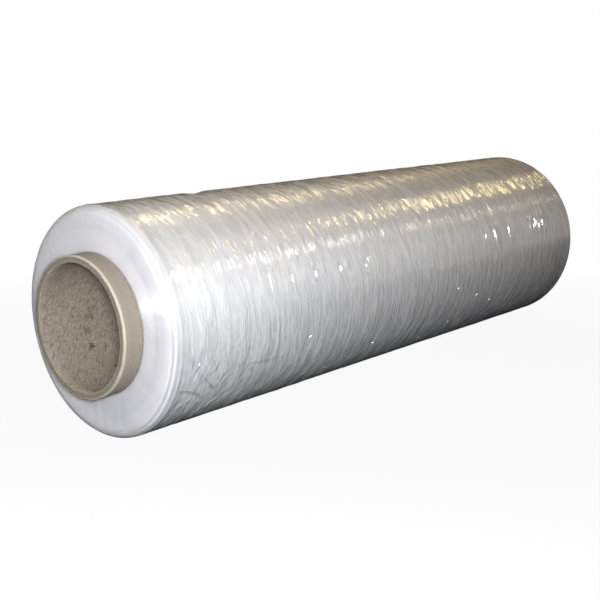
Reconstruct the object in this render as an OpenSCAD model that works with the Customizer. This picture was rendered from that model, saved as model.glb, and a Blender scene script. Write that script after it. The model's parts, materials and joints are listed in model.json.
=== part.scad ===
// Stretch wrap roll: a web of clear stretch film wound on a spirally wound chipboard tube.
// The roll lies along X, on the flat spot that its own weight presses into the soft film.
// The origin is on the ground, under the middle of the roll. +Z is up.

/* [Core tube] */
// Inside diameter of the tube, which takes a spindle or a pair of hand grips
core_id = 76.2; // [60:0.1:80]
// Thickness of the tube's wall
core_wall = 4.2; // [3:0.1:7]
// Length of tube that stands out of the film at each end
core_stub = 12.7; // [5:0.1:40]
// Plies of board that show as rings on a cut end of the tube
core_plies = 6; // [3:1:9]
// How far the most worn ply stands back from the cut end
ply_wear = 0.3; // [0.1:0.05:0.5]
// How far the saw eases the tube's edges along its length
edge_ease = 0.3; // [0.1:0.05:0.6]

/* [Film] */
// Width of the film, and so the length of the wound roll
film_w = 457.2; // [300:0.1:760]
// Length of the web that is wound on the tube, which sets how thick the roll is
film_len = 457200; // [150000:100:900000]
// Thickness of the web
film_t = 0.0203; // [0.012:0.0001:0.035]
// Air that the winding traps between turns, as a share of the film's own volume
wound_air = 0.053; // [0:0.001:0.1]
// Radius of the soft shoulder between a roll's end and its side
shoulder_r = 6; // [2:0.5:9]
// How deep the roll's weight presses its flat spot
flat_depth = 0.8; // [0.6:0.05:1.2]

/* [Turns] */
// Mean distance between the ridges that thick bands in the film wind up along the roll
ridge_pitch = 5; // [3:0.5:12]
// Depth of the deepest furrow between two ridges
ridge_depth = 0.45; // [0.1:0.05:0.5]
// Bands of turns that show as rings on each end of the film
end_bands = 8; // [3:1:12]
// How far the most displaced band of turns stands back from the roll's end
end_drift = 0.7; // [0.1:0.1:1]

/* [Hidden] */

// Sides of a circle in the preview
round_sides = 180;
// Points that round the shoulder between the end and the side
shoulder_steps = 6;
// Share of a ridge's pitch that its furrow and its crest wander along the roll
furrow_wander = 0.3;
crest_wander = 0.15;
// Where a crest stands between its two furrows, as a share of the pitch
crest_place = 0.5;
// Share of the ridge depth that the shallowest furrow has, and that the lowest crest loses
least_furrow = 0.4;
crest_loss = 0.25;
// Share of a band or ply that stands flat, the rest being the slope to the next one
flat_share = 0.8;
// Which uneven run each pattern takes, so that no two of them keep step
ply_seed = 0;
near_seed = 2;
far_seed = 6;
furrow_depth_seed = 3;
furrow_place_seed = 1;
crest_depth_seed = 5;
crest_place_seed = 2;
// Room past a cut face, so that the cut goes right through
cut_over = 10;

core_r = core_id / 2 + core_wall;
core_len = film_w + 2 * core_stub;
// Seen from its end, a web has the area of its length times its thickness, so all the turns
// and the air between them fill the ring from the tube's outside to the roll's radius.
wound_area = film_len * film_t * (1 + wound_air);
film_r = sqrt(pow(core_r, 2) + wound_area / PI);
film_wall = film_r - core_r;
// The roll's axis is lower than its radius by what the flat spot takes off
axis_z = film_r - flat_depth;
shoulder = min(shoulder_r, film_wall / 2);
// The straight side between the two shoulders, in whole ridges
side_len = film_w - 2 * shoulder;
ridges = round(side_len / ridge_pitch);

// An uneven run of values from 0 to 1, with one run for each seed. Every run starts at 0.
function uneven(i, seed) = abs(sin(i * (67 + seed * 31)) * cos(i * (13 + seed * 17)));

// The same run spread from -1 to 1
function drift(i, seed) = 2 * uneven(i, seed) - 1;

// Every outline below is a list of [radius, height] points, with the height along the axis.

// Rings on an end, from the radius r_in outwards to r_out. The inmost ring lies at the height
// top, each other one stands back by its own share of depth, and short slopes join them.
function rings(r_in, r_out, count, depth, top, seed) = [
    for (k = [0:count - 1], edge = [-1, 1])
    let (w = (r_out - r_in) / count, mid = r_in + (k + 1 / 2) * w)
    [mid + edge * flat_share * w / 2, top - depth * uneven(k, seed)]
];

// A quarter round from the end's plane to the side, about a centre s in from both
function shoulder_arc(r, top, s) = [
    for (j = [0:shoulder_steps])
    let (a = 90 - j * 90 / shoulder_steps)
    [r - s + s * cos(a), top - s + s * sin(a)]
];

// A furrow and the crest after it, for each ridge along a side of the given radius and length
function side_ridges(r, length, count, depth) = [
    for (i = [1:count - 1], crest = [false, true])
    let (
        step = length / count,
        start = length / 2 - i * step,
        furrow = depth * (least_furrow + (1 - least_furrow) * uneven(i, furrow_depth_seed)),
        furrow_shift = furrow_wander * drift(i, furrow_place_seed),
        loss = depth * crest_loss * uneven(i, crest_depth_seed),
        crest_shift = crest_place + crest_wander * drift(i, crest_place_seed)
    )
    crest ? [r - loss, start - step * crest_shift] : [r - furrow, start + step * furrow_shift]
];

// The same outline at the other end: heights below the middle, in the opposite order
function other_end(points) = [
    for (i = [len(points) - 1:-1:0]) [points[i][0], -points[i][1]]
];

// The tube's wall in section: a true bore, worn plies on each cut end and eased edges
function tube_section(top = core_len / 2) =
    let (end = concat(
        [[core_id / 2, top - edge_ease]],
        rings(core_id / 2, core_r, core_plies, ply_wear, top, ply_seed),
        [[core_r, top - ply_wear - edge_ease]]
    ))
    concat(end, other_end(end));

// One end of the wound film in section, from where it sits on the tube out to the side
function film_end(top, seed) = concat(
    [[core_r, top - end_drift]],
    rings(core_r, film_r - shoulder, end_bands, end_drift, top, seed),
    shoulder_arc(film_r, top, shoulder)
);

// The wound film in section: its two ends and the ridged side between them
function film_section(top = film_w / 2) = concat(
    film_end(top, near_seed),
    side_ridges(film_r, side_len, ridges, ridge_depth),
    other_end(film_end(top, far_seed))
);

// Sweeps an outline round the roll's axis, with its height pointing along -X
module turned(outline) {
    translate([0, 0, axis_z])
        rotate([0, -90, 0])
            rotate_extrude($fn = round_sides)
                polygon(outline);
}

module core_tube() {
    color("#a89b85")
        turned(tube_section());
}

module film_roll() {
    color("#dcdee4")
        difference() {
            turned(film_section());
            below_ground();
        }
}

// What the flat spot takes off: a block from the ground down, wider and longer than the roll
module below_ground() {
    translate([0, 0, -cut_over / 2])
        cube([film_w + 2 * cut_over, 2 * film_r, cut_over], center = true);
}

core_tube();
film_roll();
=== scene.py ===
import json
import math

import bpy
import numpy as np
from mathutils import Matrix, Vector


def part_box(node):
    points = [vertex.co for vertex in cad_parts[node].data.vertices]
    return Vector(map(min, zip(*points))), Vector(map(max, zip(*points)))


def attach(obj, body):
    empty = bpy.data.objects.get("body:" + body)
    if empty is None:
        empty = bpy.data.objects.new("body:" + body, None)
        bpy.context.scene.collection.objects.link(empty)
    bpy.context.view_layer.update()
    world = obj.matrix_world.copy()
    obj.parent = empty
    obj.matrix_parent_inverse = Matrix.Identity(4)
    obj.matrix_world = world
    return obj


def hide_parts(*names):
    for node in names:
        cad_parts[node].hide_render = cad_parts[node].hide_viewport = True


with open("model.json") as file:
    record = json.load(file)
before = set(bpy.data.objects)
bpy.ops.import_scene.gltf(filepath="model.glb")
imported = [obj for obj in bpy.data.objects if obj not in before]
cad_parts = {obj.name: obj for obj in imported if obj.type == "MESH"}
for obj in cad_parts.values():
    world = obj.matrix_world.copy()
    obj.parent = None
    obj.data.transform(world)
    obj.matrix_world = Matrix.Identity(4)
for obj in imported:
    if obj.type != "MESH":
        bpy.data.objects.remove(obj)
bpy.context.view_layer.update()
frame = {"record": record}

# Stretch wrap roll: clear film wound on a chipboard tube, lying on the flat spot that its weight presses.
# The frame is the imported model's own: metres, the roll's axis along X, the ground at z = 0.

# Sizes of the roll, taken from the frame
TUBE_LOW, TUBE_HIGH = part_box("core_tube")
FILM_LOW, FILM_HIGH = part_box("film_roll")
TUBE_R = (TUBE_HIGH.y - TUBE_LOW.y) / 2
TUBE_HALF = TUBE_HIGH.x
BORE_R = next(m["dims"]["r_mm"] for m in frame["record"]["mounts"] if m["name"] == "core_bore") / 1000
FILM_R = (FILM_HIGH.y - FILM_LOW.y) / 2
FILM_HALF = FILM_HIGH.x
AXIS_Z = FILM_HIGH.z - FILM_R
# Length of the curve that turns from a wound end to the side
SHOULDER = 0.020
# How far the film's bore stays off the tube
FILM_CLEAR = 0.00005
# How far the saw eases the tube's edges
EDGE_EASE = 0.0003

# How the film's grid is shared out. Round the roll, columns run from low on the front over the top and
# back by the rear, each span with its first and last angle in degrees and its number of columns. Along
# the section, rows lie closer together over the span at the near end, where the last turns are crumpled.
COLUMN_SPANS = ((-58, 0, 61), (0, 104, 61), (104, 302, 58))
NEAR_SPAN, NEAR_ROWS, FAR_ROWS = 0.100, 142, 316
END_ROWS, SHOULDER_ROWS, BORE_ROWS = 10, 26, 3
# The tube's grid: rows along its bore and its outside, rows across a cut end, and columns round it
WALL_ROWS, CUT_ROWS, TUBE_COLUMNS = 90, 13, 180

# The camera, as fitted to the photograph's outlines
CAMERA_PLACE = Vector((-0.57561, -0.46985, 0.21212))
CAMERA_AZIMUTH, CAMERA_ELEVATION = math.radians(-48.243), math.radians(12.658)
CAMERA_LENS, CAMERA_SENSOR = 60.62, 36

# The film's small knots, painted pale as painted highlights: distance along, angle in degrees,
# half-length, and the slopes of their steep side along the roll and round it
KNOTS = ((0.0502, -11.8, 0.002, 1.9, -0.8), (0.0803, -20.3, 0.002, 2.3, -1.1),
         (0.1047, -28.0, 0.002, 2.8, -1.5), (0.0571, -38.9, 0.002, 3.7, -2.4),
         (0.0332, -35.5, 0.002, 3.1, -2.0), (-0.1155, -15.5, 0.002, 1.4, -0.9),
         (0.0274, -46.9, 0.002, 5.4, -4.0), (-0.0391, -34.7, 0.002, 2.6, -2.0),
         (-0.0807, -45.5, 0.004, 4.0, -3.6), (-0.0832, -49.5, 0.003, 5.3, -4.9),
         (-0.2034, 9.0, 0.002, 0.9, -0.25), (-0.2100, -14.0, 0.002, 1.1, -0.85))
# How steep a knot's side counts, where a pinch's counts 1. The fine lines fade out on sides as steep.
KNOT_STEEP = 0.25
# The film's steep pinches, one side of which flashes: distance along, angle in degrees, half-length, slope
PINCHES = ((0.0910, 17.6, 0.0022, 1.65), (0.1046, 16.9, 0.0040, 1.68), (0.1254, 16.5, 0.0045, 1.73),
           (0.1582, 17.1, 0.0030, 1.82), (0.1636, 18.0, 0.0015, 1.83), (0.1683, 20.4, 0.0025, 1.84),
           (0.1731, 17.1, 0.0030, 1.86), (0.1790, 18.7, 0.0030, 1.87), (-0.0583, 16.3, 0.0015, 1.26),
           (-0.0837, 17.6, 0.0015, 1.20), (-0.1083, 17.4, 0.0015, 1.13), (-0.1305, 17.6, 0.0025, 1.08),
           (-0.1489, 18.0, 0.0055, 1.03))
# Rows of the grid over which a pinch rises and falls, and its longest fade round the roll
PINCH_RISE, PINCH_FALL, PINCH_FADE = 2, 8, 0.006

# The nick in the film's top, as strokes: distance along, angle and lean in degrees, half-length,
# half-width, height and bend
NICK = ((-0.1412, 98.6, 43, 0.024, 0.0034, -0.8, 0), (-0.1372, 98.6, 43, 0.024, 0.0019, -0.9, 0))

# The fine lines that run with the film's turns: whether they lie side by side along the roll or away from
# its axis, their pitch in metres, how often they change round the roll, and their detail. The depths are
# of those that stand up, in millimetres. The lines on the side sway along the roll by up to the sway.
FILM_LINES = {"soft": ("Along", 0.0032, 1.6, 1.0), "fine": ("Along", 0.0012, 12.0, 1.0),
              "gloss": ("Along", 0.0034, 5.0, 3.0), "rings": ("Away", 0.0009, 0.4, 3.0),
              "wide": ("Away", 0.006, 0.6, 1.0)}
LINE_DEPTHS = {"rings": 0.08, "soft": 0.38, "fine": 0.3}
FILM_SWAY = 0.004

# The colour of the painted highlight along the tube's edges, and the stains in its bore: place
# measured from the middle of the axis, size and strength
PAINTED_EDGE_HIGHLIGHT = (0.62, 0.565, 0.475)
STAINS = (((-0.2035, 0.0380, -0.001), 0.0026, 0.45), ((-0.2060, 0.0378, -0.005), 0.0034, 0.5),
          ((-0.2094, 0.0357, -0.0135), 0.0034, 0.5), ((-0.2099, 0.0307, -0.0225), 0.0020, 0.95))
# The lean of the tube's inner ply from the way along the bore, in radians
SPIRAL = 0.96

# Heights of the studio's dim ceiling and of the lamps under it
CEILING, LAMP_HEIGHT = 1.4, 1.07


# Noise and grids

def eased(t):
    """Goes from 0 to 1 with level ends: 6 t to the fifth, less 15 t to the fourth, plus 10 t cubed."""
    return t * t * t * (t * (6 * t - 15) + 10)


def lattice_noise(along, turns, cells, seed):
    """Random heights from -1 to 1, one at each lattice point, blended between the four points round a
    place by the eased share of the way in each direction. along counts lattice cells, and turns counts
    turns round the roll, each of which holds the given number of cells, so the pattern closes."""
    along, round_ = np.broadcast_arrays(along, turns * cells)
    low, left = np.floor(along).astype(int), np.floor(round_).astype(int)
    up, right = eased(along - low), eased(round_ - left)
    low = low - low.min()
    heights = np.random.default_rng(seed).uniform(-1, 1, (low.max() + 2, cells))
    here, there = left % cells, (left + 1) % cells
    near = heights[low, here] * (1 - right) + heights[low, there] * right
    far = heights[low + 1, here] * (1 - right) + heights[low + 1, there] * right
    return near * (1 - up) + far * up


def closed_grid(name, points):
    """A mesh on a grid of points that closes both ways: rows by columns by x, y, z. The face at row i and
    column j joins the points (i, j), (i + 1, j), (i + 1, j + 1) and (i, j + 1), so it faces outward where
    the rows go along the roll and the columns up its front."""
    rows, columns = points.shape[:2]
    i, j = np.meshgrid(np.arange(rows), np.arange(columns), indexing="ij")
    i_next, j_next = (i + 1) % rows, (j + 1) % columns
    here, ahead = i * columns, i_next * columns
    corners = np.stack([here + j, ahead + j, ahead + j_next, here + j_next], -1)
    mesh = bpy.data.meshes.new(name)
    mesh.vertices.add(rows * columns)
    mesh.vertices.foreach_set("co", points.reshape(-1).astype(np.float32))
    mesh.loops.add(rows * columns * 4)
    mesh.loops.foreach_set("vertex_index", corners.reshape(-1).astype(np.int32))
    mesh.polygons.add(rows * columns)
    mesh.polygons.foreach_set("loop_start", np.arange(0, rows * columns * 4, 4, dtype=np.int32))
    mesh.polygons.foreach_set("use_smooth", np.ones(rows * columns, bool))
    mesh.update(calc_edges=True)
    mesh.validate()
    piece = bpy.data.objects.new(name, mesh)
    bpy.context.scene.collection.objects.link(piece)
    return piece


def round_the_axis(along, radius, angle):
    """Points at the given distance along the roll, radius and angle, where the angle 0 faces -Y and a
    quarter turn faces up: x is the distance along, y is -radius cos(angle), z is the axis height + radius
    sin(angle)."""
    return np.stack([along, -radius * np.cos(angle), AXIS_Z + radius * np.sin(angle)], -1)


# The wound film

def shoulder_curve():
    """The curve from a wound end to the side as depth from the end's plane, rise of the radius, and turn
    of its outward direction. With t as the share of the length to the power 2.2, the turn goes from 0 to
    a quarter as three squares of t less two cubes, so the end curves over slowly at first. Depth and rise
    are the sums of the turn's sine and cosine, taken in twenty fine steps to a row of the grid."""
    fine = 20
    share = np.linspace(0, 1, SHOULDER_ROWS * fine + 1) ** 2.2
    turn = (3 - 2 * share) * share * share * math.pi / 2
    step = SHOULDER / (SHOULDER_ROWS * fine)
    middle = (turn[1:] + turn[:-1]) / 2
    depth, rise = (np.concatenate([[0], np.cumsum(f(middle)) * step]) for f in (np.sin, np.cos))
    return depth[::fine], rise[::fine], turn[::fine]


def film_outline():
    """The section of the winding as distance along, radius and the outward direction of each point: out
    along one end, round its shoulder, along the side, round the other shoulder, in along that end and
    back along the bore."""
    depth, rise, turn = shoulder_curve()
    reach = depth[-1]
    inner, outer = TUBE_R + FILM_CLEAR, FILM_R - rise[-1]
    face = np.linspace(inner, outer, END_ROWS, endpoint=False)
    near_x = np.linspace(-FILM_HALF + reach, -FILM_HALF + NEAR_SPAN, NEAR_ROWS, endpoint=False)
    side = np.concatenate([near_x, np.linspace(-FILM_HALF + NEAR_SPAN, FILM_HALF - reach, FAR_ROWS)])
    back = np.linspace(FILM_HALF, -FILM_HALF, BORE_ROWS + 2)[1:-1]
    end = np.stack([np.full(END_ROWS, -FILM_HALF), face, np.full(END_ROWS, -1.0), np.zeros(END_ROWS)], -1)
    shoulder = np.stack([depth - FILM_HALF, outer + rise, -np.cos(turn), np.sin(turn)], -1)[:-1]
    near = np.concatenate([end, shoulder])
    far = near[::-1] * [-1, 1, -1, 1]
    middle = np.stack([side, np.full(len(side), FILM_R), np.zeros(len(side)), np.ones(len(side))], -1)
    bore = np.stack([back, np.full(BORE_ROWS, inner), np.zeros(BORE_ROWS), -np.ones(BORE_ROWS)], -1)
    return np.concatenate([near, middle, far, bore]).T


def film_angles():
    """Angles of the grid's columns, closest together low on the front and widest apart at the back."""
    spans = [np.linspace(start, end, count, endpoint=False) for start, end, count in COLUMN_SPANS]
    return np.radians(np.concatenate(spans))


def side_relief(along, angle):
    """Relief of the side in millimetres. Turned bands 7 mm wide and ridges half as wide are noises on
    lattices that are many times longer round the roll than along it. A slow sway of 2 mm carries them
    both to and fro, and the ridges are stronger in some places than in others."""
    turns = angle / (2 * math.pi)
    mm = along * 1000
    sway = 2.0 * lattice_noise(mm / 45, turns, cells=6, seed=11)
    bands = lattice_noise((mm + sway) / 7, turns, cells=3, seed=12)
    ridges = lattice_noise((mm + sway) / 3.4, turns, cells=9, seed=13)
    strength = 0.65 + 0.35 * lattice_noise(mm / 25, turns, cells=9, seed=16)
    return 0.12 * bands + 0.09 * strength * ridges


def strokes(along, angle, centres, lean, half_length, half_width, height, bend, fold=False):
    """Slim strokes on the side, each with its own centre (distance along, angle), lean from the way round
    the roll, half-length, half-width, height and bend. Across a stroke the relief is a bell, or for a
    fold the bell times the distance across it, which stands up on one side and dips on the other. Along
    it, the relief rises and falls as an eased bump. The bend adds its share of the squared distance along
    to the distance across. Only the part of the grid within a stroke's reach, three half-widths to either
    side, is worked out."""
    relief = np.zeros(np.broadcast_shapes(along.shape, angle.shape))
    x, phi = along[:, 0], angle[0]
    sizes = zip(centres, lean, half_length, half_width, height, bend)
    for (middle, at), turn, length, width, high, curve in sizes:
        spare = 3 * width + abs(curve) * length ** 2
        reach = abs(math.sin(turn)) * length + spare
        rows = slice(*np.searchsorted(x, [middle - reach, middle + reach]))
        round_ = ((phi - at + math.pi) % (2 * math.pi) - math.pi) * FILM_R
        columns = np.flatnonzero(np.abs(round_) < abs(math.cos(turn)) * length + spare)
        if rows.start == rows.stop or not len(columns):
            continue
        dx, dt = x[rows][:, None] - middle, round_[columns][None, :]
        run = dt * math.cos(turn) + dx * math.sin(turn)
        off = (dx * math.cos(turn) - dt * math.sin(turn) - curve * run ** 2) / width
        swell = eased(np.clip(1 - np.abs(run) / length, 0, 1)) * np.exp(-off * off)
        relief[rows, columns] += high * swell * (off * 1.6 if fold else 1)
    return relief


def random_strokes(along, angle, count, seed, from_to, angles, lean, lengths, widths, heights, bend,
                   fold=False, mean_lean=0):
    """Strokes at even random over a stretch of the roll and a range of angles. Half-length, half-width
    and height are even random within their ranges. The lean and the bend are spreads, about the mean lean
    and about none."""
    rng = np.random.default_rng(seed)
    centres = np.stack([rng.uniform(*from_to, count), np.radians(rng.uniform(*angles, count))], -1)
    half_length = rng.uniform(*lengths, count)
    half_width = rng.uniform(*widths, count)
    turn = np.radians(rng.normal(mean_lean, lean, count))
    height = rng.uniform(*heights, count)
    curve = rng.normal(0, bend, count)
    return strokes(along, angle, centres, turn, half_length, half_width, height, curve, fold)


def placed_strokes(along, angle, rows, fold=False):
    """Strokes that are placed one by one: each row has the distance along, the angle and the lean in
    degrees, the half-length and half-width in metres, the height and the bend."""
    middle, at, lean, length, width, height, bend = np.array(rows).T
    centres = np.stack([middle, np.radians(at)], -1)
    return strokes(along, angle, centres, np.radians(lean), length, width, height, bend, fold)


def crumpled_patch(along, angle):
    """Folds in the lower front of the near end, where the last turns of film lie loose: short folds in
    all directions, longer sweeping ones, and a few that stand out, each in a place of its own."""
    folds = random_strokes(along, angle, count=110, seed=41, from_to=(-0.222, -0.165), angles=(-46, -4),
                           lean=55, lengths=(0.004, 0.011), widths=(0.0010, 0.0015), heights=(0.06, 0.18),
                           bend=14, fold=True)
    sweeps = random_strokes(along, angle, count=40, seed=42, from_to=(-0.215, -0.110), angles=(-52, 0),
                            lean=24, lengths=(0.012, 0.03), widths=(0.0010, 0.0018), heights=(0.06, 0.16),
                            bend=6, fold=True)
    main = placed_strokes(along, angle, [
        (-0.1965, -26.7, -45, 0.016, 0.0013, 0.60, 3),
        (-0.2080, -29.2, -62, 0.021, 0.0013, 0.45, -13),
        (-0.1545, -22.0, -85, 0.030, 0.0010, 0.22, 2),
        (-0.1650, -24.0, -58, 0.014, 0.0010, 0.26, -10),
        (-0.1460, -6.6, -6, 0.026, 0.0010, 0.26, 0),
        (-0.2100, -18.0, 25, 0.012, 0.0012, 0.35, 12),
        (-0.1860, -40.0, 35, 0.016, 0.0013, 0.30, -8),
    ], fold=True)
    return folds + sweeps + main


def pinch_heights(along, angle):
    """Heights in millimetres of the steep pinches and knots, and where their steep sides are, from 0 to
    1. Each pinch rises at its own slope over two rows of the grid and falls away over the next eight. It
    reaches its half-length to either side round the roll, and fades out over twice that, or 6 mm where
    that is less. A knot is one small sloping patch, three rows by two columns, and its height is the
    slope along the roll times the distance along it, plus the slope round the roll times the distance
    round it."""
    heights = np.zeros((len(along), angle.shape[1]))
    steep = np.zeros(heights.shape)
    for middle, at, length, slope in PINCHES:
        row = np.searchsorted(along[:, 0], middle)
        foot, end = row - PINCH_RISE, row + PINCH_FALL
        rise = slope * 1000 * (along[row, 0] - along[foot, 0])
        away = np.abs(angle[0] - math.radians(at)) * FILM_R
        share = np.clip(1 - (away - length) / min(PINCH_FADE, 2 * length), 0, 1)
        columns = np.flatnonzero(share)
        across = np.interp(np.arange(foot, end + 1), (foot, row, end), (0, rise, 0))
        heights[foot:end + 1, columns] = across[:, None] * share[columns]
        steep[foot:row + 1, columns] = share[columns]
    for middle, at, _, slope_along, slope_round in KNOTS:
        row = np.searchsorted(along[:, 0], middle)
        column = np.searchsorted(angle[0], math.radians(at))
        rows, columns = slice(row - 1, row + 2), slice(column, column + 2)
        height = along[rows] * slope_along + angle[:, columns] * FILM_R * slope_round
        heights[rows, columns] = (height - height.min()) * 1000
        steep[rows, columns] = KNOT_STEEP
    return heights, steep


def painted_crease_shade_and_highlights(along, angle):
    """Painted shade and highlight on the side: above 0 the colour is painted darker in creases, as painted
    shade, and below 0 it is painted paler along pale lines and at knots, as painted highlights. The
    material also makes its skin steep there."""
    fine = random_strokes(along, angle, count=90, seed=43, from_to=(-0.222, -0.160), angles=(-44, -6),
                          lean=60, lengths=(0.003, 0.009), widths=(0.0008, 0.0011), heights=(-0.6, 0.6),
                          bend=16)
    lines = random_strokes(along, angle, count=420, seed=44, from_to=(-FILM_HALF, FILM_HALF),
                           angles=(-180, 180), lean=5, lengths=(0.010, 0.032), widths=(0.0009, 0.0015),
                           heights=(-0.6, 0.15), bend=2)
    main = placed_strokes(along, angle, [
        (-0.1965, -26.7, -45, 0.017, 0.0009, 0.95, 3),
        (-0.2080, -29.2, -62, 0.024, 0.0009, 0.75, -13),
        (-0.1545, -22.0, -85, 0.032, 0.0008, 0.55, 2),
        (-0.1650, -24.0, -58, 0.015, 0.0008, 0.50, -10),
        (-0.1460, -6.6, -6, 0.028, 0.0009, -0.60, 0),
        (-0.1448, -6.6, -6, 0.028, 0.0008, 0.30, 0),
        (-0.2045, -20.0, 5, 0.009, 0.0008, 0.45, 10),
        (-0.1960, -16.0, -30, 0.010, 0.0008, 0.40, -10),
    ])
    # The knots are painted pale, as painted highlights
    rows = [(middle, at, 0, length, 0.0010, -1.0, 0) for middle, at, length, *_ in KNOTS]
    knots = placed_strokes(along, angle, rows)
    return np.clip(fine + lines + main + knots, -1, 1)


def end_relief(radius, angle):
    """Relief of a wound end in millimetres: bands of turns that stand at slightly uneven heights, and
    fine single turns between them, both nearly even round the end."""
    turns = angle / (2 * math.pi)
    mm = radius * 1000
    bands = lattice_noise(mm / 3.6, turns, cells=3, seed=51)
    single = lattice_noise(mm / 1.3, turns, cells=5, seed=52)
    return 0.16 * bands + 0.04 * single


def shoulder_place(out_x, out_r):
    """The place on a shoulder, from 0 at its end to a quarter turn times eight at the side: the angle of
    its outward direction times eight."""
    return np.arctan2(out_r, np.abs(out_x)) * 8


def shoulder_edges(angle):
    """How far the edges of single turns show on a shoulder: more in some places round the end than in
    others, and most low on the front."""
    turns = angle / (2 * math.pi)
    strength = 0.5 + 0.3 * lattice_noise(np.zeros_like(angle), turns, cells=7, seed=61)
    return strength + 0.8 * np.exp(-((np.cos(angle - math.radians(-32)) - 1) / 0.12) ** 2)


def shoulder_relief(place, angle):
    """Relief of a shoulder in millimetres: the edges of its turns as close lines."""
    lines = lattice_noise(place / 1.4, angle / (2 * math.pi), cells=4, seed=62)
    return 0.13 * shoulder_edges(angle) * lines


def shoulder_marks(place, angle):
    """The same edges as darker lines of painted shade, above 0, and paler ones of painted highlight, below
    0.
    """
    lines = lattice_noise(place / 1.3, angle / (2 * math.pi), cells=3, seed=63)
    return np.clip(0.9 * shoulder_edges(angle) * lines, -0.5, 0.5)


def wound_film():
    """The film's surface: the section's outline turned round the axis, pushed in along its own outward
    direction by the relief, and pressed flat on the ground. Its points also carry how creased they are
    and the painted shade and highlight that goes with it, how high they stand in a pinch or knot, and how
    steep they are there, for the material to read."""
    along, radius, out_x, out_r = (v[:, None] for v in film_outline())
    angle = film_angles()[None, :]
    first = END_ROWS + SHOULDER_ROWS
    last = first + NEAR_ROWS + FAR_ROWS
    relief = np.zeros((len(along), angle.shape[1]))
    x = along[first:last]
    side = side_relief(x, angle) + crumpled_patch(x, angle)
    side += random_strokes(x, angle, count=1200, seed=21, from_to=(-FILM_HALF, FILM_HALF),
                           angles=(-180, 180), lean=5, lengths=(0.012, 0.035), widths=(0.0014, 0.0024),
                           heights=(0.03, 0.11), bend=2)
    side += random_strokes(x, angle, count=160, seed=23, from_to=(-0.215, -0.04), angles=(-30, 45),
                           lean=6, lengths=(0.006, 0.016), widths=(0.0010, 0.0016), heights=(0.04, 0.12),
                           bend=4, fold=True, mean_lean=-12)
    side += placed_strokes(x, angle, NICK)
    side += random_strokes(x, angle, count=260, seed=22, from_to=(-FILM_HALF, FILM_HALF),
                           angles=(-180, 180), lean=9, lengths=(0.010, 0.025), widths=(0.0014, 0.0020),
                           heights=(0.03, 0.09), bend=4, fold=True)
    relief[first:last] = side
    # Painted shade and highlight: creases painted dark, pale lines and knots painted pale, and the
    # shoulders' edge lines both
    marks = np.zeros(relief.shape, np.float32)
    marks[first:last] = painted_crease_shade_and_highlights(x, angle)
    for rows, shift in ((slice(0, first), 0), (slice(last, last + first), 1)):
        rise = np.abs(out_r[rows])
        place = shoulder_place(out_x[rows], out_r[rows])
        on_face = end_relief(radius[rows], angle + shift)
        relief[rows] = np.where(rise < 0.001, on_face, shoulder_relief(place, angle))
        marks[rows] = np.where(rise < 0.2, 0, shoulder_marks(place, angle))
    relief[:last + first] -= relief[:last + first].max()
    points = round_the_axis(along + out_x * relief / 1000, radius + out_r * relief / 1000, angle)
    points[..., 2] = np.maximum(points[..., 2], 0)
    film = closed_grid("wound_film", points)
    pinches, steep = np.zeros((2, *relief.shape), np.float32)
    pinches[first:last], steep[first:last] = pinch_heights(x, angle)
    for name, values in (("crease_and_painted_light", marks), ("pinch", pinches), ("steep", steep)):
        film.data.attributes.new(name, "FLOAT", "POINT").data.foreach_set("value", values.reshape(-1))
    film.data.materials.append(film_material())
    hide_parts("film_roll")
    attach(film, "root")


# The chipboard tube

def tube_outline():
    """The section of the tube's wall as distance along and radius: the bore, the sawn end with its plies,
    the outside and the other end. With t as the share of the way across the wall, an end stands back by
    0.12 mm times half of one less the cosine of six turns of t, one turn for each ply, plus the ease of
    the edges times the eighth power of twice t less one."""
    half = TUBE_HALF - EDGE_EASE
    bore = np.stack([np.linspace(half, -half, WALL_ROWS), np.full(WALL_ROWS, BORE_R)], -1)
    share = np.linspace(0, 1, CUT_ROWS + 2)[1:-1]
    worn = 0.00012 * (1 - np.cos(share * math.pi * 12)) / 2 + EDGE_EASE * (2 * share - 1) ** 8
    end = np.stack([-TUBE_HALF + worn, BORE_R + (TUBE_R - BORE_R) * share], -1)
    wall = np.stack([np.linspace(-half, half, WALL_ROWS), np.full(WALL_ROWS, TUBE_R)], -1)
    far = end[::-1] * [-1, 1]
    return np.concatenate([bore, end, wall, far]).T


def core_tube():
    """The tube's surface: its section turned round the axis, with uneven dents up to 0.2 mm deep in the
    sawn ends."""
    along, radius = (v[:, None] for v in tube_outline())
    angle = np.linspace(0, 2 * math.pi, TUBE_COLUMNS, endpoint=False)[None, :]
    cut = np.abs(along) > TUBE_HALF - 1.2 * EDGE_EASE
    rough = lattice_noise(radius * 1500, angle / (2 * math.pi), cells=90, seed=31)
    pull = np.where(cut, 0.0001 * (rough - 1), 0) * np.sign(along)
    tube = closed_grid("chipboard_tube", round_the_axis(along + pull, radius + 0 * angle, angle))
    for material in (board_wall_material(), board_cut_material(), board_bore_material()):
        tube.data.materials.append(material)
    wall, cut_end, bore = 0, 1, 2
    kinds = np.full(len(along), cut_end, np.int32)
    kinds[:WALL_ROWS - 1] = bore
    kinds[WALL_ROWS + CUT_ROWS:2 * WALL_ROWS + CUT_ROWS - 1] = wall
    tube.data.polygons.foreach_set("material_index", np.repeat(kinds, angle.shape[1]))
    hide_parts("core_tube")
    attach(tube, "root")


# Shader nodes

def put(tree, kind, inputs=None, **settings):
    """Adds a node with its settings, and links or sets its inputs."""
    node = tree.nodes.new(kind)
    for name, value in settings.items():
        setattr(node, name, value)
    for name, value in (inputs or {}).items():
        if isinstance(value, bpy.types.NodeSocket):
            tree.links.new(value, node.inputs[name])
        else:
            node.inputs[name].default_value = value
    return node


def new_material(name):
    """A material with an empty Principled shader, and its node tree."""
    material = bpy.data.materials.new(name)
    material.use_nodes = True
    tree = material.node_tree
    return material, tree, tree.nodes["Principled BSDF"]


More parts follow.
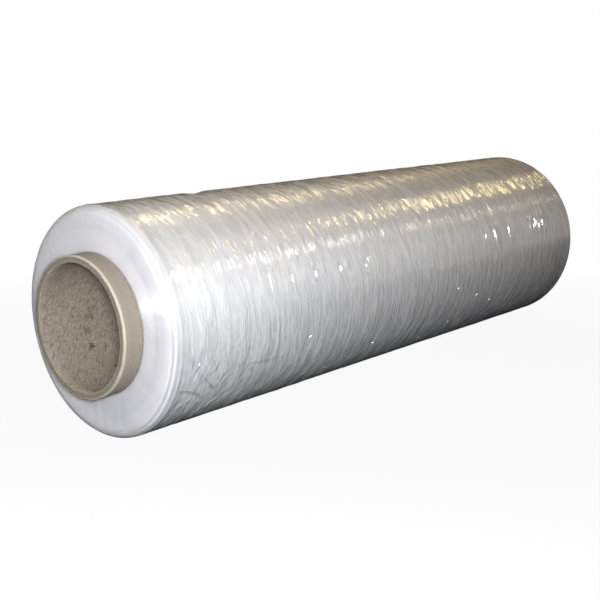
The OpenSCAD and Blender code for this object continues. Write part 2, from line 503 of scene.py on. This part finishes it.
def new_group(name, inputs, outputs):
    """An empty node group with inputs of float, or of vector where the usual value is None, and outputs
    of the given kinds. Returns the group, its input node's sockets and its output node."""
    group = bpy.data.node_groups.new(name, "ShaderNodeTree")
    for socket, value in inputs.items():
        kind = "NodeSocketVector" if value is None else "NodeSocketFloat"
        made = group.interface.new_socket(socket, in_out="INPUT", socket_type=kind)
        if value is not None:
            made.default_value = value
    for socket, kind in outputs.items():
        group.interface.new_socket(socket, in_out="OUTPUT", socket_type="NodeSocket" + kind)
    return group, put(group, "NodeGroupInput").outputs, put(group, "NodeGroupOutput").inputs


def use_group(tree, name, inputs=None):
    """Adds a node of a finished group, and returns its outputs."""
    return put(tree, "ShaderNodeGroup", inputs, node_tree=bpy.data.node_groups[name]).outputs


def ramp(tree, value, low, high, to_low=0.0, to_high=1.0):
    """Carries a value from one range to another, held at its ends."""
    node = put(tree, "ShaderNodeMapRange", {"Value": value, "From Min": low, "From Max": high,
                                            "To Min": to_low, "To Max": to_high})
    return node.outputs["Result"]


def bump(tree, height, distance=0.001, normal=None):
    """The normal of a surface with the given heights, a height of 1 being the distance in metres."""
    inputs = {"Height": height, "Strength": 1.0, "Distance": distance}
    if normal is not None:
        inputs["Normal"] = normal
    return put(tree, "ShaderNodeBump", inputs).outputs["Normal"]


def maths(tree, kind, first, second=0.0):
    """One step of arithmetic on two values."""
    return put(tree, "ShaderNodeMath", {0: first, 1: second}, operation=kind).outputs[0]


def on_vectors(tree, kind, first, second=(0, 0, 0)):
    """One step of arithmetic on two vectors."""
    return put(tree, "ShaderNodeVectorMath", {0: first, 1: second}, operation=kind).outputs[0]


def blended(tree, share, first, second):
    """Two colours mixed by a share."""
    node = put(tree, "ShaderNodeMix", {0: share}, data_type="RGBA")
    for socket, colour in zip(node.inputs[6:8], (first, second)):
        if isinstance(colour, bpy.types.NodeSocket):
            tree.links.new(colour, socket)
        else:
            socket.default_value = (*colour, 1)
    return node.outputs[2]


def noise(tree, place, scale=1.0, detail=2.0, roughness=0.5):
    """Noise from 0 to 1, mostly near the middle."""
    return put(tree, "ShaderNodeTexNoise", {"Vector": place, "Scale": scale, "Detail": detail,
                                            "Roughness": roughness}).outputs["Fac"]


def roll_place(tree, sway):
    """Adds the nodes that tell where a point is on the roll, and returns their outputs: Place is its
    place measured from the axis, Along is the distance along the roll plus a noise of up to the sway in
    metres, Away is the distance from the axis, and Round is the direction from the axis as a vector of
    length 1."""
    place = on_vectors(tree, "SUBTRACT", put(tree, "ShaderNodeTexCoord").outputs["Object"], (0, 0, AXIS_Z))
    flat = on_vectors(tree, "MULTIPLY", place, (0, 1, 1))
    wander = noise(tree, on_vectors(tree, "MULTIPLY", place, (130, 40, 40)), detail=1.0)
    shift = maths(tree, "MULTIPLY", ramp(tree, wander, 0, 1, -1, 1), sway)
    along = put(tree, "ShaderNodeSeparateXYZ", {0: place}).outputs["X"]
    away = put(tree, "ShaderNodeVectorMath", {0: flat}, operation="LENGTH").outputs["Value"]
    return {"Place": place, "Along": maths(tree, "ADD", along, shift), "Away": away,
            "Round": on_vectors(tree, "NORMALIZE", flat)}


def winding_lines(tree, given):
    """Adds the nodes of lines that run with the turns, and returns their height: noise on the place
    Across the turns divided by the Pitch, and on the direction Round the axis times the Changes, so that
    a few changes make long lines and many make short ones."""
    lines = put(tree, "ShaderNodeCombineXYZ", {"X": maths(tree, "DIVIDE", given["Across"], given["Pitch"])})
    turned = put(tree, "ShaderNodeVectorMath", {0: given["Round"], "Scale": given["Changes"]},
                 operation="SCALE")
    place = on_vectors(tree, "ADD", lines.outputs[0], turned.outputs[0])
    return noise(tree, place, detail=given["Detail"])


def roll_place_group():
    """The group of the place on the roll, for every material."""
    outputs = {"Place": "Vector", "Along": "Float", "Away": "Float", "Round": "Vector"}
    tree, given, made = new_group("roll_place", {"Sway": 0.0}, outputs)
    for name, socket in roll_place(tree, given["Sway"]).items():
        tree.links.new(socket, made[name])


def winding_lines_group():
    """The group of the winding lines, for the film and the cut end of the tube."""
    inputs = {"Across": 0.0, "Pitch": 0.002, "Changes": 2.0, "Detail": 1.0, "Round": None}
    tree, given, made = new_group("winding_lines", inputs, {"Height": "Float"})
    tree.links.new(winding_lines(tree, given), made["Height"])


def board_fibres_group():
    """Chipboard's grain: Fibres is noise at the given Scale per metre, Dark and Light are the few specks
    where a finer noise is lowest and highest, and Stains is a wide faint noise."""
    tree, given, made = new_group("board_fibres", {"Scale": 1200.0},
                                  {"Fibres": "Float", "Dark": "Float", "Light": "Float", "Stains": "Float"})
    place = put(tree, "ShaderNodeTexCoord").outputs["Object"]
    fine = noise(tree, place, maths(tree, "MULTIPLY", given["Scale"], 0.8), 1.0)
    tree.links.new(noise(tree, place, given["Scale"], 4.0, 0.65), made["Fibres"])
    tree.links.new(ramp(tree, fine, 0.32, 0.24), made["Dark"])
    tree.links.new(ramp(tree, fine, 0.68, 0.76), made["Light"])
    tree.links.new(noise(tree, place, 45, 3.0, 0.6), made["Stains"])


def line_settings(place, kind):
    """What the winding lines are given for one kind of the film's lines."""
    across, pitch, changes, detail = FILM_LINES[kind]
    return {"Across": place[across], "Pitch": pitch, "Changes": changes, "Detail": detail,
            "Round": place["Round"]}


def line_relief(tree, heights, plain):
    """The normal of a surface with the film's lines: the height of each kind times its depth, added up
    and multiplied by a share."""
    (kind, depth), *others = LINE_DEPTHS.items()
    total = maths(tree, "MULTIPLY", heights[kind], depth)
    for kind, depth in others:
        total = maths(tree, "ADD", total, maths(tree, "MULTIPLY", heights[kind], depth))
    return bump(tree, maths(tree, "MULTIPLY", total, plain))


def film_material():
    """Milky film under a glossy skin, which is the coat. On the side, soft light streaks round the roll
    shade the milk. Lines where the skin is dull, and short fine ridges, break up what it mirrors. Its
    creases are painted darker, as painted shade, and its pale lines and knots are painted paler, as
    painted highlights. All of them are steep, and the steep sides of pinches and knots are smooth and
    shine. Toward both rims the side is painted a little darker, as painted shade. On the ends, the film
    is seen edge on and has no skin: its fine rings spread a light along the line from the axis toward
    it, which the shader does with a gloss that is wide across the rings and narrow along them. One
    passes into the other over the first millimetres in from each end."""
    material, tree, shader = new_material("film")
    place = use_group(tree, "roll_place", {"Sway": FILM_SWAY})
    from_middle = maths(tree, "ABSOLUTE", place["Along"])
    on_end = ramp(tree, from_middle, FILM_HALF - 0.006, FILM_HALF - 0.0005)
    lines = {}
    for kind in FILM_LINES:
        lines[kind] = use_group(tree, "winding_lines", line_settings(place, kind))["Height"]
    crease_and_painted_light, pinch, steep = (put(tree, "ShaderNodeAttribute", attribute_name=name).outputs["Fac"]
                            for name in ("crease_and_painted_light", "pinch", "steep"))

    side = blended(tree, ramp(tree, lines["soft"], 0.38, 0.66), (0.79, 0.80, 0.83), (0.88, 0.885, 0.90))
    # Painted shade: the side's colour is darkened toward both rims, over the last 6 cm at the far end
    near_rim = ramp(tree, place["Along"], 0.018 - FILM_HALF, 0.002 - FILM_HALF)
    far_rim = ramp(tree, place["Along"], FILM_HALF - 0.060, FILM_HALF - 0.010)
    side = blended(tree, maths(tree, "MAXIMUM", near_rim, far_rim), side, (0.66, 0.665, 0.69))
    end = blended(tree, ramp(tree, lines["wide"], 0.35, 0.65), (0.835, 0.83, 0.87), (0.87, 0.865, 0.90))
    colour = blended(tree, on_end, side, end)
    # Painted shade in creases and on the shoulders' edge lines, and painted highlights on the pale lines
    # and knots
    colour = blended(tree, ramp(tree, crease_and_painted_light, 0, 1, 0, 0.75), colour, (0.30, 0.31, 0.33))
    colour = blended(tree, ramp(tree, crease_and_painted_light, 0, -1), colour, (0.99, 0.99, 1.0))
    tree.links.new(colour, shader.inputs["Base Color"])

    plain = ramp(tree, steep, 0, KNOT_STEEP, 1, 0)
    tree.links.new(line_relief(tree, lines, plain), shader.inputs["Normal"])
    # A group doesn't feed the coat's own normal, so the skin gets its lines by nodes of the material's own
    own_place = roll_place(tree, FILM_SWAY)
    own_lines = {kind: winding_lines(tree, line_settings(own_place, kind)) for kind in LINE_DEPTHS}
    crease_height = maths(tree, "MULTIPLY", maths(tree, "MULTIPLY", crease_and_painted_light, plain), -0.8)
    folded = maths(tree, "ADD", pinch, crease_height)
    skin = bump(tree, folded, normal=line_relief(tree, own_lines, plain))
    tree.links.new(skin, shader.inputs["Coat Normal"])
    shine = maths(tree, "MAXIMUM", ramp(tree, lines["gloss"], 0.56, 0.48, 0.1, 1), steep)
    coat = maths(tree, "MULTIPLY", shine, ramp(tree, on_end, 0, 1, 1, 0))
    tree.links.new(coat, shader.inputs["Coat Weight"])
    tree.links.new(ramp(tree, on_end, 0, 1, 0.72, 0.50), shader.inputs["Roughness"])
    tangent = put(tree, "ShaderNodeTangent", direction_type="RADIAL", axis="X")
    tree.links.new(tangent.outputs[0], shader.inputs["Tangent"])
    shader.inputs["Anisotropic"].default_value = 1.0
    shader.inputs["Anisotropic Rotation"].default_value = 0.25
    shader.inputs["IOR"].default_value = 2.1
    shader.inputs["Coat IOR"].default_value = 1.75
    shader.inputs["Coat Roughness"].default_value = 0.12
    shader.inputs["Subsurface Weight"].default_value = 0.75
    shader.inputs["Subsurface Radius"].default_value = (1, 1, 1)
    shader.inputs["Subsurface Scale"].default_value = 0.005
    return material


def board(name, scale, dark, light, speck_share, bump_height):
    """Bare chipboard: a colour between dark and light by its fibres, with dark and light specks by their
    share, and relief of the given height. Returns the material, its tree, its shader and the colour."""
    material, tree, shader = new_material(name)
    grain = use_group(tree, "board_fibres", {"Scale": scale})
    colour = blended(tree, ramp(tree, grain["Fibres"], 0.3, 0.7), dark, light)
    colour = blended(tree, ramp(tree, grain["Stains"], 0.35, 0.65, 0, 0.25), colour, dark)
    colour = blended(tree, maths(tree, "MULTIPLY", grain["Dark"], speck_share), colour, (0.13, 0.10, 0.075))
    colour = blended(tree, maths(tree, "MULTIPLY", grain["Light"], speck_share), colour, (0.55, 0.51, 0.44))
    tree.links.new(bump(tree, grain["Fibres"], bump_height), shader.inputs["Normal"])
    shader.inputs["Roughness"].default_value = 0.85
    return material, tree, shader, colour


def board_wall_material():
    """The outside of the tube: smooth pressed paper with few specks, with a painted highlight along its
    edges.
    """
    dark, light = (0.28, 0.245, 0.20), (0.345, 0.305, 0.255)
    material, tree, shader, colour = board("chipboard_wall", 900, dark, light, 0.3, 0.0001)
    from_middle = maths(tree, "ABSOLUTE", use_group(tree, "roll_place")["Along"])
    # Painted highlight along the tube's ends
    edge = ramp(tree, from_middle, TUBE_HALF - 0.0021, TUBE_HALF - 0.0010)
    tree.links.new(blended(tree, edge, colour, PAINTED_EDGE_HIGHLIGHT), shader.inputs["Base Color"])
    return material


def board_cut_material():
    """The sawn end of the tube: rough dark plies between a painted highlight along its outer edge and a
    fainter one next to the bore, both broken up by a noise."""
    dark, light = (0.20, 0.17, 0.135), (0.43, 0.38, 0.31)
    material, tree, shader, colour = board("chipboard_cut", 1000, dark, light, 0.9, 0.0003)
    place = use_group(tree, "roll_place")
    plies = use_group(tree, "winding_lines", {"Across": place["Away"], "Round": place["Round"],
                                              "Pitch": 0.0007, "Changes": 2.0})["Height"]
    colour = blended(tree, ramp(tree, plies, 0.35, 0.65, 0, 0.35), colour, (0.20, 0.165, 0.125))
    # Painted highlights along the edge by the bore and along the outer edge, broken up by a noise
    highlight_breaks = noise(tree, place["Place"], 260, 4.0, 0.7)
    inner = maths(tree, "MULTIPLY", ramp(tree, place["Away"], BORE_R + 0.0014, BORE_R + 0.0007),
                  ramp(tree, highlight_breaks, 0.35, 0.6))
    colour = blended(tree, inner, colour, (0.42, 0.38, 0.31))
    outer = maths(tree, "MULTIPLY", ramp(tree, place["Away"], TUBE_R - 0.0011, TUBE_R - 0.0005),
                  ramp(tree, highlight_breaks, 0.25, 0.5))
    tree.links.new(blended(tree, outer, colour, PAINTED_EDGE_HIGHLIGHT), shader.inputs["Base Color"])
    return material


def board_bore_material():
    """The inside of the tube: coarser paper with more specks, dark streaks that run along its spirally
    wound ply, and a few stains near one end. A streak is where a noise is high that is stretched along
    the spiral: across it counts the distance along the tube times the cosine of its angle plus the
    distance round the bore times the sine, and down it the other way round."""
    dark, light = (0.24, 0.20, 0.155), (0.44, 0.39, 0.32)
    material, tree, shader, colour = board("chipboard_bore", 620, dark, light, 0.8, 0.0004)
    place = use_group(tree, "roll_place")["Place"]
    parts = put(tree, "ShaderNodeSeparateXYZ", {0: place}).outputs
    turned = maths(tree, "MULTIPLY", maths(tree, "ARCTAN2", parts["Z"], parts["Y"]), BORE_R)
    unrolled = put(tree, "ShaderNodeCombineXYZ", {"X": parts["X"], "Y": turned}).outputs[0]
    lean = put(tree, "ShaderNodeVectorRotate", {"Vector": unrolled, "Angle": -SPIRAL},
               rotation_type="Z_AXIS")
    spiral_streaks = noise(tree, on_vectors(tree, "MULTIPLY", lean.outputs[0], (150, 900, 1)), detail=2.0)
    colour = blended(tree, ramp(tree, spiral_streaks, 0.55, 0.68, 0, 0.8), colour, (0.14, 0.115, 0.09))
    ragged = maths(tree, "MULTIPLY", ramp(tree, noise(tree, place, 500, 3.0), 0.3, 0.7, -1, 1), 0.0025)
    for centre, size, share in STAINS:
        away = put(tree, "ShaderNodeVectorMath", {0: place, 1: centre}, operation="DISTANCE")
        edge = maths(tree, "ADD", away.outputs["Value"], ragged)
        stain = ramp(tree, edge, size, size * 0.6, 0, share)
        colour = blended(tree, stain, colour, (0.12, 0.095, 0.07))
    tree.links.new(colour, shader.inputs["Base Color"])
    return material


# The studio

def white_to_sight(tree):
    """1 for rays from the camera and for rays by which gloss or glass sees the backdrop, otherwise 0."""
    rays = put(tree, "ShaderNodeLightPath").outputs
    seen = maths(tree, "MAXIMUM", rays["Is Camera Ray"], rays["Is Glossy Ray"])
    return maths(tree, "MAXIMUM", seen, rays["Is Transmission Ray"])


def studio_floor():
    """A pale floor that keeps the roll's shadow near it and goes white further off."""
    bpy.ops.mesh.primitive_plane_add(size=12, location=(0, 0, -0.0002))
    floor = bpy.context.object
    floor.name = "studio_floor"
    material, tree, _ = new_material("pale_floor")
    sight = white_to_sight(tree)
    place = put(tree, "ShaderNodeTexCoord").outputs["Object"]
    away = put(tree, "ShaderNodeVectorMath", {0: place}, operation="LENGTH").outputs["Value"]
    share = maths(tree, "MULTIPLY", ramp(tree, away, 0.22, 0.5, 0.93, 1.0), sight)
    grey = blended(tree, sight, (0.08, 0.08, 0.08), (0.9, 0.9, 0.9))
    plain = put(tree, "ShaderNodeBsdfDiffuse", {"Color": grey})
    white = put(tree, "ShaderNodeEmission", {"Color": (1, 1, 1, 1), "Strength": 1.0})
    mixed = put(tree, "ShaderNodeMixShader", {0: share, 1: plain.outputs[0], 2: white.outputs[0]})
    tree.links.new(mixed.outputs[0], tree.nodes["Material Output"].inputs["Surface"])
    floor.data.materials.append(material)


def studio_world():
    """A world that is white where it is seen, and lights the object only weakly."""
    world = bpy.data.worlds.new("studio")
    bpy.context.scene.world = world
    world.use_nodes = True
    tree = world.node_tree
    tree.nodes.clear()
    sight = white_to_sight(tree)
    seen = put(tree, "ShaderNodeBackground", {"Color": (1, 1, 1, 1), "Strength": 1.0})
    ambient = put(tree, "ShaderNodeBackground", {"Color": (0.97, 0.97, 1.0, 1), "Strength": 0.015})
    mixed = put(tree, "ShaderNodeMixShader", {0: sight, 1: ambient.outputs[0], 2: seen.outputs[0]})
    put(tree, "ShaderNodeOutputWorld", {"Surface": mixed.outputs[0]})


def soft_lamp(name, start, end, width, target, power, colour):
    """A long soft lamp from start to end, turned so that it shines at the target."""
    start, end, target = Vector(start), Vector(end), Vector(target)
    middle = (start + end) / 2
    length_way = (end - start).normalized()
    back = (middle - target).normalized()
    across = back.cross(length_way).normalized()
    back = length_way.cross(across)
    data = bpy.data.lights.new(name, "AREA")
    data.shape = "RECTANGLE"
    data.size, data.size_y = (end - start).length, width
    data.energy, data.color = power, colour
    lamp = bpy.data.objects.new(name, data)
    bpy.context.scene.collection.objects.link(lamp)
    turn = Matrix((length_way, across, back)).transposed()
    lamp.matrix_world = Matrix.Translation(middle) @ turn.to_4x4()
    return lamp


def card(name, corners, colour, fade=None):
    """A big dim card that the film mirrors and is lit by, in place of the white backdrop: one flat face
    with an even glow, or one that fades along an axis from a first place to a second, down to a share of
    its strength. The camera sees past it, and it throws no shadow."""
    mesh = bpy.data.meshes.new(name)
    mesh.from_pydata(corners, [], [(0, 1, 2, 3)])
    material, tree, _ = new_material(name)
    glow = put(tree, "ShaderNodeEmission", {"Color": (*colour, 1), "Strength": 1.0})
    if fade:
        axis, first, second, share = fade
        place = put(tree, "ShaderNodeTexCoord").outputs["Object"]
        way = put(tree, "ShaderNodeSeparateXYZ", {0: place}).outputs[axis]
        tree.links.new(ramp(tree, way, first, second, 1.0, share), glow.inputs["Strength"])
    tree.links.new(glow.outputs[0], tree.nodes["Material Output"].inputs["Surface"])
    mesh.materials.append(material)
    made = bpy.data.objects.new(name, mesh)
    bpy.context.scene.collection.objects.link(made)
    made.visible_camera = made.visible_shadow = False


def studio_cards():
    """A dark table top round the roll, a dim warm ceiling that fades away from the camera, and dimmer
    walls that go dark toward the ground."""
    left, right, front, back = -2.0, 2.7, -4.0, 2.0
    card("table_card", [(-0.8, -0.8, 0.0002), (1.2, -0.8, 0.0002), (1.2, 1.0, 0.0002), (-0.8, 1.0, 0.0002)],
         (0.012, 0.012, 0.014))
    corners = [(left, front), (right, front), (right, back), (left, back)]
    card("ceiling_card", [(x, y, CEILING) for x, y in corners], (0.26, 0.20, 0.12), ("X", 0.4, 2.7, 0.4))
    for name, edge in (("wall_card", corners[1:3]), ("back_card", corners[2:])):
        start, end = edge
        card(name, [(*start, 0), (*start, CEILING), (*end, CEILING), (*end, 0)], (0.13, 0.10, 0.062),
             ("Z", CEILING, 0, 0.08))


def studio_lamps():
    """Two key lamps by the camera, of which one lights the roll and the film only mirrors the other, a
    fill for the near end, one for the back and the far end, and rows of ceiling lamps that the film only
    mirrors, as bands that its ridges break up. Each lamp hangs across its row. A row has the middle of
    its first and last lamp, the way across, the number of lamps, their length across, the power of the
    first and the last, and their colour."""
    middle, cool = (0, 0, AXIS_Z), (0.95, 0.97, 1.0)
    for name, raised, half, power in (("key", -0.01, 0.037, 3.05), ("key_gloss", 0.03, 0.065, 2.3)):
        place = CAMERA_PLACE + Vector((0.06, 0.08, raised))
        way = Vector((0.8, -0.6, 0)) * half
        lamp = soft_lamp(name, place - way, place + way, 1.7 * half, middle, power, cool)
        lamp.visible_camera = False
        lamp.visible_glossy = name == "key_gloss"
        lamp.visible_diffuse = name == "key"
    near_end = (-FILM_HALF, 0, AXIS_Z)
    fill = soft_lamp("fill", (-0.85, 0.25, 0.5), (-0.70, 0.45, 0.5), 0.2, near_end, 0.58, (1.0, 0.97, 1.0))
    back = soft_lamp("back_fill", (0.75, 1.15, 0.10), (1.25, 0.45, 0.10), 0.16, middle, 5.0, cool)
    for lamp in (fill, back):
        lamp.visible_camera = lamp.visible_glossy = False
    warm, amber, gold = (1.0, 0.80, 0.48), (1.0, 0.82, 0.48), (1.0, 0.80, 0.42)
    rows = {
        "lamp_over": ((0.58, 0.50), (1.34, 0.50), (0.33, 0.95), 6, 0.36, 0.90, 0.15, amber),
        "lamp_beyond": ((1.58, 0.75), (2.30, 1.10), (0.45, 0.89), 3, 0.40, 0.15, 0.09, warm),
        "lamp_between": ((1.16, -0.16), (1.70, -0.16), (-0.28, 0.96), 5, 0.36, 0.07, 1.45, gold),
        "lamp_near": ((0.80, -0.95), (1.28, -0.95), (-0.52, 0.85), 4, 0.34, 0.95, 0.92, (1.0, 0.97, 0.90)),
        "lamp_low": ((1.52, -0.92), (2.36, -0.86), (-0.66, 0.75), 5, 0.28, 0.48, 0.13, (1.0, 0.90, 0.70)),
    }
    for name, (start, end, across, count, length, first, last, colour) in rows.items():
        start, end = Vector((*start, LAMP_HEIGHT)), Vector((*end, LAMP_HEIGHT))
        half = Vector((*across, 0)).normalized() * length / 2
        for i in range(count):
            place = start.lerp(end, i / (count - 1))
            power = first + (last - first) * i / (count - 1)
            lamp = soft_lamp(f"{name}_{i + 1}", place - half, place + half, 0.10, middle, power, colour)
            lamp.visible_diffuse = lamp.visible_camera = False


def camera():
    """The photograph's camera."""
    data = bpy.data.cameras.new("camera")
    data.lens, data.sensor_width = CAMERA_LENS, CAMERA_SENSOR
    data.clip_start, data.clip_end = 0.01, 50
    a, e = CAMERA_AZIMUTH, CAMERA_ELEVATION
    back = Vector((math.sin(a) * math.cos(e), -math.cos(a) * math.cos(e), math.sin(e)))
    made = bpy.data.objects.new("camera", data)
    bpy.context.scene.collection.objects.link(made)
    made.rotation_mode = "QUATERNION"
    made.location = CAMERA_PLACE
    made.rotation_quaternion = (-back).to_track_quat("-Z", "Y")
    bpy.context.scene.camera = made


roll_place_group()
winding_lines_group()
board_fibres_group()
camera()
studio_floor()
studio_world()
studio_cards()
studio_lamps()
wound_film()
core_tube()
bpy.context.scene.view_settings.view_transform = "Standard"
